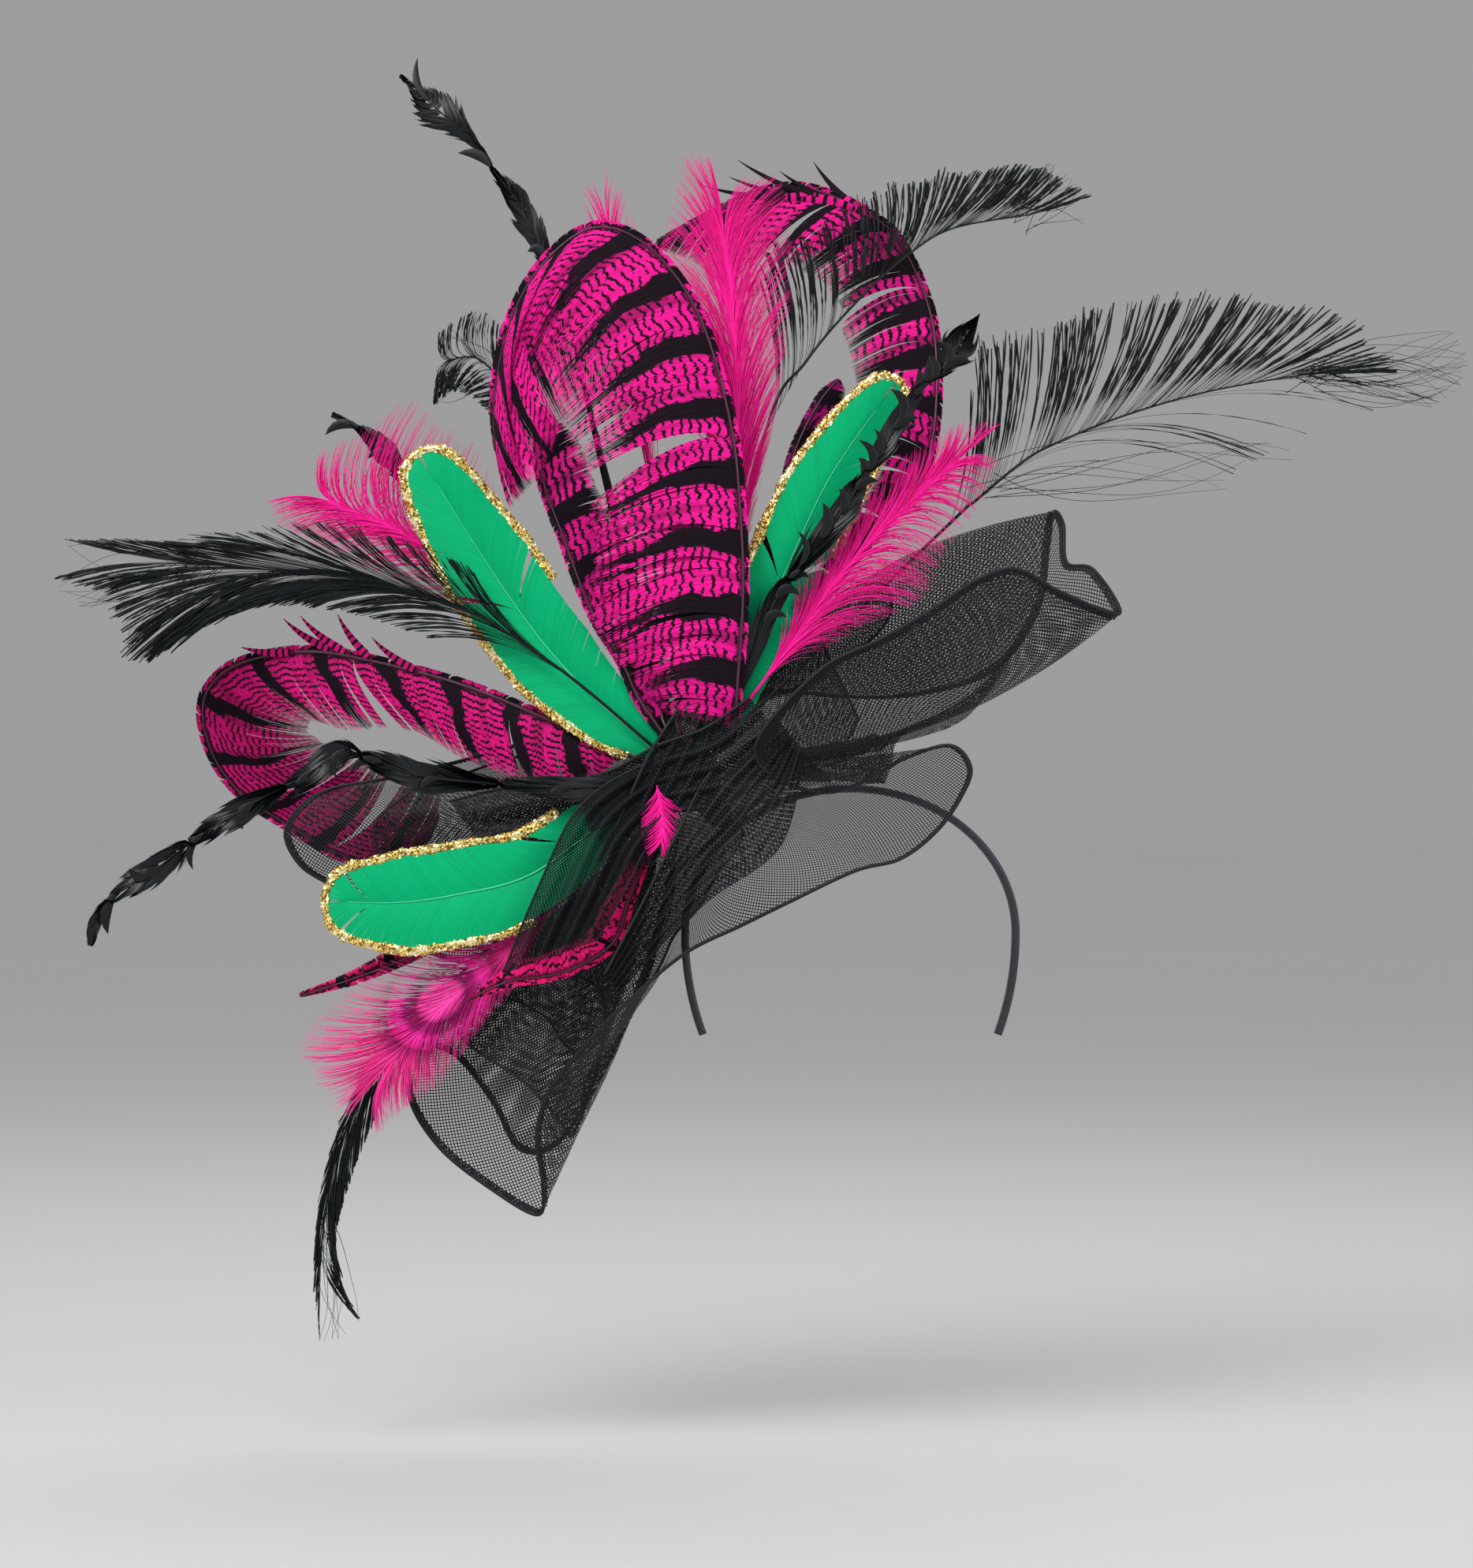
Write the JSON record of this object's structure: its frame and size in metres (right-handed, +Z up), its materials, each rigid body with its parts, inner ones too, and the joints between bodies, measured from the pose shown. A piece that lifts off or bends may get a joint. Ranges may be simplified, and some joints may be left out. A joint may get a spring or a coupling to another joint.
{
  "type": "fascinator headband with a crinoline brim and feather spray",
  "caption": "Satin headband carrying a ruffled see-through crinoline brim and a wide spray of pink barred, emerald and black feathers.",
  "frame": {"origin": "inner top of the headband, where it sits on the crown of the head", "axes": "+Z up through the wearer's crown, +X to the viewer's right seen from the front, -Y to the front"},
  "size_m": [0.7036, 0.1461, 0.6416],
  "materials": {
    "satin": "smooth navy-black satin wrapped over the band",
    "felt": "matt black felt and binding",
    "crinoline": "see-through black horsehair net with a corded, stitched rim",
    "pheasant": "hot pink dyed pheasant with broad black bars and fine wavy black lines",
    "crimson": "crimson pink dyed pheasant with black flecks",
    "green": "emerald satin goose feather",
    "gold": "coarse gold glitter",
    "pink": "hot pink peacock herl",
    "black": "glossy near-black feather with a blue-green tint"
  },
  "bodies": {
    "root": {"headband": "satin", "base_disc": "felt", "stem_binding": "felt", "brim": "crinoline", "crin_fold_left": "crinoline", "crin_fold_down": "crinoline", "pheasant_main": "pheasant", "pheasant_inner": "pheasant", "pheasant_right": "pheasant", "pheasant_dark": "pheasant", "pheasant_left": "pheasant", "pheasant_low": "crimson", "pheasant_sliver": "crimson", "green_left": "green", "gold_left": "gold", "green_right": "green", "gold_right": "gold", "green_low": "green", "gold_low": "gold", "plume_top": "pink", "plume_wisp": "pink", "plume_left": "pink", "plume_right": "pink", "plume_eye": "pink", "heart_tuft": "pink", "sword_top": "black", "sword_right": "black", "sword_left": "black", "sword_back": "black", "sword_hanging": "black", "twist_top": "black", "twist_right": "black", "twist_left": "black", "twist_braid": "black"}
  },
  "joints": []
}
